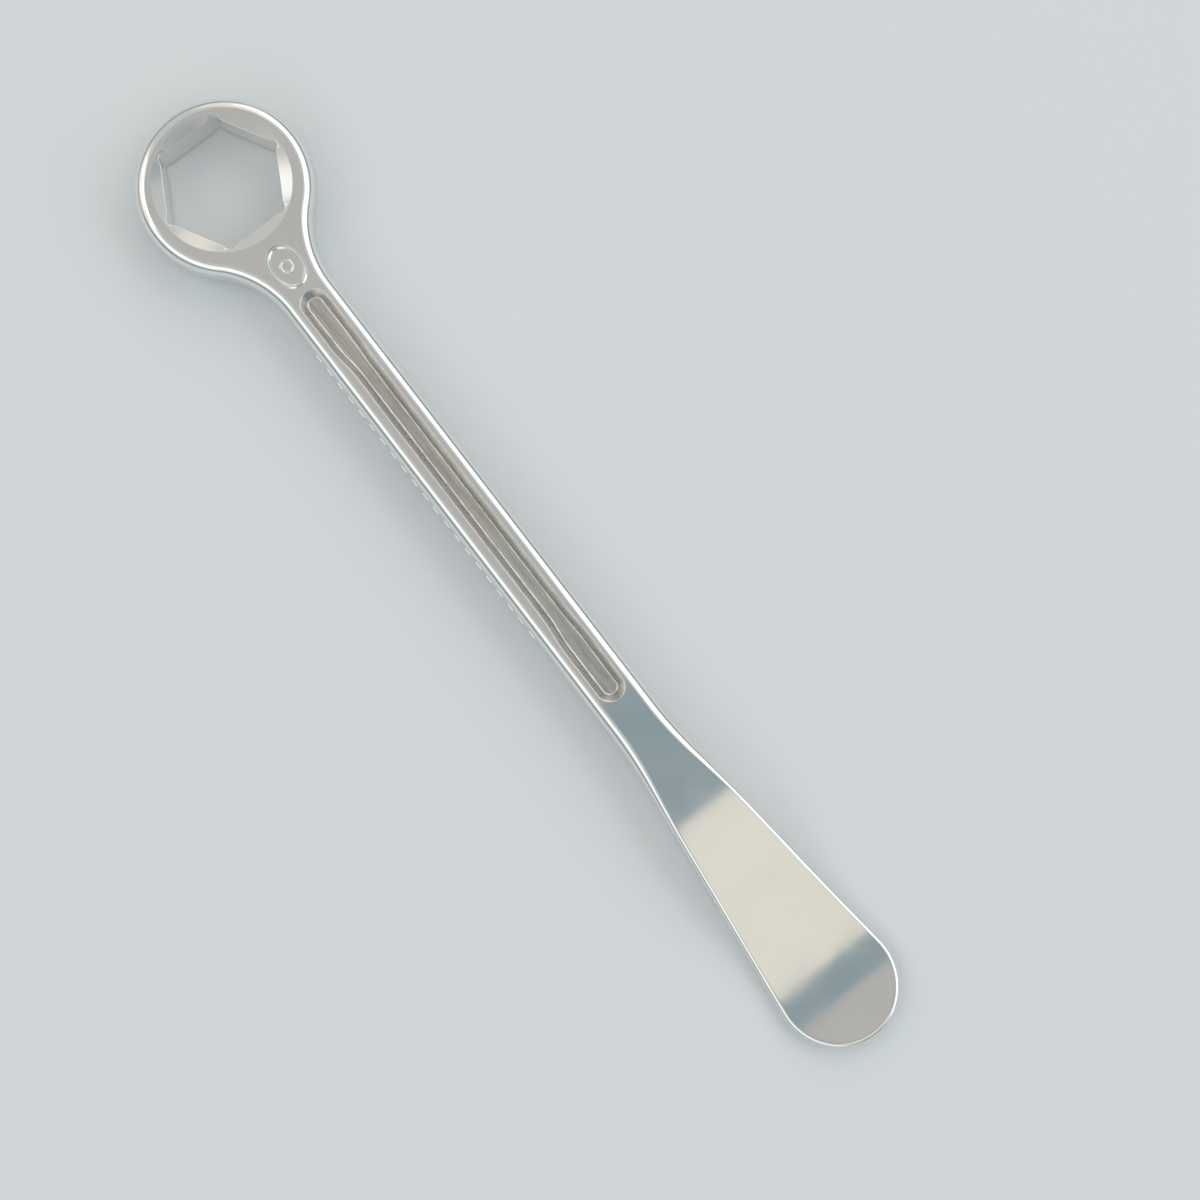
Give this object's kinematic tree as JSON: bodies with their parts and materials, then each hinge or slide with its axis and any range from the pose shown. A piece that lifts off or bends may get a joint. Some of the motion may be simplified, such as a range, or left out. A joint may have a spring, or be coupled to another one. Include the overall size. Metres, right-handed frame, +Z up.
{
  "type": "tyre lever",
  "caption": "Forged aluminium tyre lever: a flat spoon blade with an upturned tip at one end, a fluted shank, and a box-end hexagon wrench head at the other",
  "frame": {"origin": "middle of the lever's length and width, on the plane that its flat underside rests on", "axes": "+X runs along the lever from the wrench head to the blade tip, +Z is up, along the wrench axis and out of the face with the badge, and the upturned tip points up"},
  "size_m": [0.2732, 0.0422, 0.0113],
  "materials": {
    "polished_aluminium": "bright polished forging, with the trough floors as forged"
  },
  "bodies": {
    "root": {"lever_forging": "polished_aluminium"}
  },
  "joints": []
}
